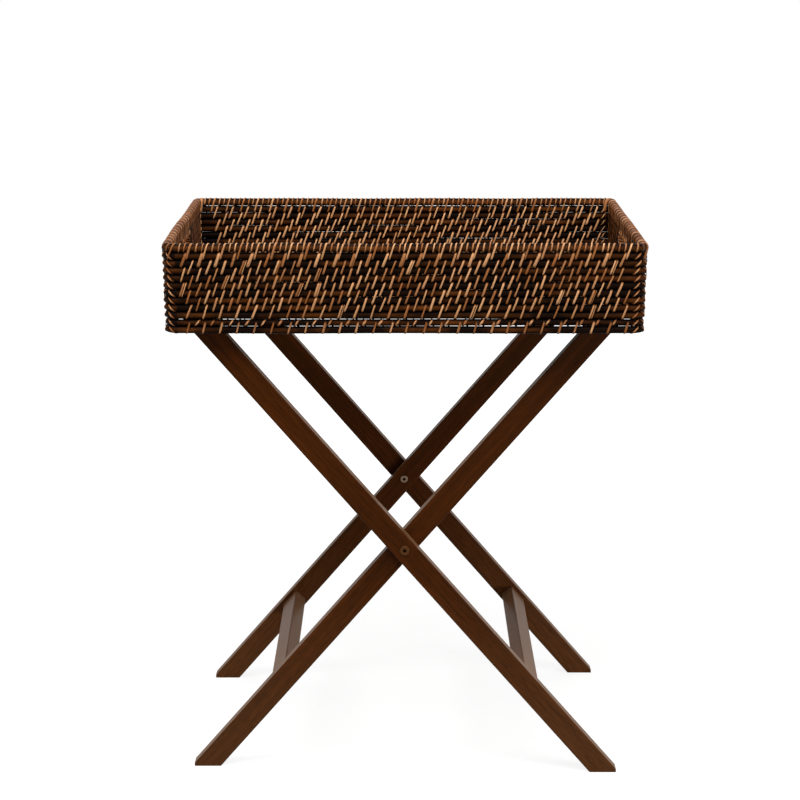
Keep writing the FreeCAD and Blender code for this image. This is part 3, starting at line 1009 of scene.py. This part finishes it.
class TABLE_OT_straps(bpy.types.Operator):
    """Stretch the webbing straps over the rails"""

    bl_idname = "table.straps"
    bl_label = "Straps"

    def execute(self, context):
        webbing = woven_webbing(context.scene.table_finish)
        for node in ("strap_front", "strap_rear"):
            self.stretch(node, webbing)
        return {"FINISHED"}

    def stretch(self, node, webbing):
        """Lead a strap over both rails and down the outer face of each."""
        low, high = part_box(node)
        rail_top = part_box("outer_top_rail")[1].z
        lean = leg_lean()
        bend = high.z - rail_top - STRAP_THICKNESS / 2
        corner = Vector((high.x - bend - STRAP_THICKNESS / 2, 0, rail_top))
        tail = (rail_top - low.z) / math.cos(lean)
        down = Vector((-math.sin(lean), 0, -math.cos(lean)))
        face = Vector((math.cos(lean), 0, -math.sin(lean)))
        right_half = []
        for step in range(1, SPAN_STEPS + 1):
            right_half.append((Vector((corner.x * step / SPAN_STEPS, 0, rail_top)) + UP * bend, UP))
        for step in range(1, TURN_STEPS + 1):
            turn = (math.pi / 2 + lean) * step / TURN_STEPS
            normal = UP * math.cos(turn) + X_AXIS * math.sin(turn)
            right_half.append((corner + normal * bend, normal))
        for step in range(1, TURN_STEPS + 1):
            right_half.append((corner + face * bend + down * (tail * step / TURN_STEPS), face))
        left_half = [(Vector((-place.x, 0, place.z)), Vector((-normal.x, 0, normal.z)))
                     for place, normal in reversed(right_half)]
        line = left_half + [(Vector((0, 0, rail_top)) + UP * bend, UP)] + right_half
        self.band(node, line, (low.y + high.y) / 2, high.y - low.y, webbing)

    def band(self, node, line, middle, width, webbing):
        """Weave a strap along its line."""
        half = width / 2
        edge = STRAP_THICKNESS / 2
        section = ((-half, 0.5), (-half + edge, 1.0), (half - edge, 1.0), (half, 0.5),
                   (half, -0.5), (half - edge, -1.0), (-half + edge, -1.0), (-half, -0.5))
        rings = [[place + Y_AXIS * (middle - a) + normal * (edge * h) for a, h in section]
                 for place, normal in line]
        along = distances_along([place for place, _ in line])
        sweeps = Sweeps()
        sweeps.add(rings, along, [PLAIN_TONE] * len(rings))
        piece = sweeps.make(node + "_webbing", webbing)
        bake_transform(piece)
        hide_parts(node)


class TABLE_OT_studio(bpy.types.Operator):
    """Set up the floor, the lamps, the world and the camera"""

    bl_idname = "table.studio"
    bl_label = "Studio"

    def execute(self, context):
        studio = context.scene.table_studio
        self.floor(studio)
        self.lamp("overhead_softbox", studio.overhead_power,
                  place=(-0.3, 1.0, 2.2), aim=(0, 0, 0.5), size=(1.4, 1.4))
        self.lamp("front_softbox", studio.front_power,
                  place=(-0.15, -0.9, 2.2), aim=(0, 0, 0.55), size=(3.6, 0.9))
        self.lamp("low_strip", studio.low_power,
                  place=(1.4, -2.4, 0.2), aim=(0, 0, 0.1), size=(1.4, 0.3), spread=math.radians(50))
        self.world(context.scene, studio)
        self.camera(context.scene, studio)
        context.scene.view_settings.view_transform = "Standard"
        return {"FINISHED"}

    def floor(self, studio):
        # Studio paper, rolled out: pale and matt, white where the eye or a mirror meets it,
        # with soft shadows.
        half = 4.0
        corners = [(-half, -half, 0), (half, -half, 0), (half, half, 0), (-half, half, 0)]
        mesh = bpy.data.meshes.new("studio_floor")
        mesh.from_pydata(corners, [], [(0, 1, 2, 3)])
        material, tree = new_material("studio_paper")
        seen = seen_rays(tree)
        shade = add_node(tree, "Mix", {0: seen, MIX_A: studio.floor_bounce, MIX_B: studio.floor},
                         data_type="RGBA")
        paper = add_node(tree, "BsdfDiffuse", {"Color": shade.outputs[MIX_COLOUR]})
        white = add_node(tree, "Emission", {"Color": (1, 1, 1, 1), "Strength": 1.16})
        place = add_node(tree, "TexCoord", {}).outputs["Object"]
        distance = add_node(tree, "VectorMath", {0: place}, operation="LENGTH").outputs["Value"]
        whiteness = add_node(tree, "MapRange", {"Value": distance, "From Min": 0.3, "From Max": 1.5,
                                                "To Min": 0.74, "To Max": 1.0},
                             interpolation_type="SMOOTHSTEP")
        share = add_node(tree, "Math", {0: seen, 1: whiteness}, operation="MULTIPLY")
        mixed = add_node(tree, "MixShader", {0: share, 1: paper, 2: white})
        add_node(tree, "OutputMaterial", {"Surface": mixed})
        mesh.materials.append(material)
        floor = bpy.data.objects.new("studio_floor", mesh)
        bpy.context.scene.collection.objects.link(floor)

    def lamp(self, name, power, place, aim, size, spread=math.pi):
        light = bpy.data.lights.new(name, "AREA")
        light.shape = "RECTANGLE"
        light.size, light.size_y = size
        light.energy = power
        light.spread = spread
        lamp = bpy.data.objects.new(name, light)
        lamp.location = place
        lamp.rotation_euler = (Vector(aim) - Vector(place)).to_track_quat("-Z", "Y").to_euler()
        lamp.visible_camera = False
        bpy.context.scene.collection.objects.link(lamp)

    def world(self, scene, studio):
        world = bpy.data.worlds.new("studio_light")
        world.use_nodes = True
        tree = world.node_tree
        tree.nodes.clear()
        fill = add_node(tree, "Background", {"Color": (1, 1, 1, 1), "Strength": studio.fill})
        white = add_node(tree, "Background", {"Color": (1, 1, 1, 1), "Strength": 1.0})
        mixed = add_node(tree, "MixShader", {0: seen_rays(tree), 1: fill, 2: white})
        add_node(tree, "OutputWorld", {"Surface": mixed})
        scene.world = world

    def camera(self, scene, studio):
        data = bpy.data.cameras.new("photo_camera")
        data.lens = studio.lens
        data.sensor_width = 36.0
        camera = bpy.data.objects.new("photo_camera", data)
        camera.location = (studio.camera_aside, -studio.camera_distance, studio.camera_height)
        camera.rotation_euler = (math.pi / 2 - studio.camera_tilt, 0, 0)
        scene.collection.objects.link(camera)
        scene.camera = camera


def seen_rays(tree):
    """1 for what the eye sees, straight or in a mirror or a glass, and 0 for light on the table."""
    rays = add_node(tree, "LightPath", {}).outputs
    mirrored = add_node(tree, "Math", {0: rays["Is Glossy Ray"], 1: rays["Is Transmission Ray"]},
                        operation="ADD")
    return add_node(tree, "Math", {0: rays["Is Camera Ray"], 1: mirrored}, operation="ADD", use_clamp=True)


STEPS = (TABLE_OT_courses, TABLE_OT_wall_binding, TABLE_OT_rim_binding, TABLE_OT_hand_holes, TABLE_OT_base,
         TABLE_OT_stand, TABLE_OT_hardware, TABLE_OT_straps, TABLE_OT_studio)


class TABLE_PT_panel(bpy.types.Panel):
    """The settings and steps of the tray table"""

    bl_idname = "TABLE_PT_panel"
    bl_label = "Tray table"
    bl_space_type = "VIEW_3D"
    bl_region_type = "UI"
    bl_category = "Tray table"

    def draw(self, context):
        for settings in (context.scene.table_weave, context.scene.table_finish, context.scene.table_studio):
            box = self.layout.box()
            for name in settings.__annotations__:
                box.prop(settings, name)
        for step in STEPS:
            self.layout.operator(step.bl_idname)


SETTINGS = {"table_weave": WeaveSettings, "table_finish": FinishSettings, "table_studio": StudioSettings}


def register():
    for kind in (*SETTINGS.values(), *STEPS, TABLE_PT_panel):
        bpy.utils.register_class(kind)
    for name, kind in SETTINGS.items():
        setattr(bpy.types.Scene, name, PointerProperty(type=kind))


def unregister():
    for name in SETTINGS:
        delattr(bpy.types.Scene, name)
    for kind in (TABLE_PT_panel, *reversed(STEPS), *SETTINGS.values()):
        bpy.utils.unregister_class(kind)


def main():
    register()
    bpy.ops.table.courses()
    bpy.ops.table.wall_binding()
    bpy.ops.table.rim_binding()
    bpy.ops.table.hand_holes()
    bpy.ops.table.base()
    bpy.ops.table.stand()
    bpy.ops.table.hardware()
    bpy.ops.table.straps()
    bpy.ops.table.studio()


if __name__ == "__main__":
    main()
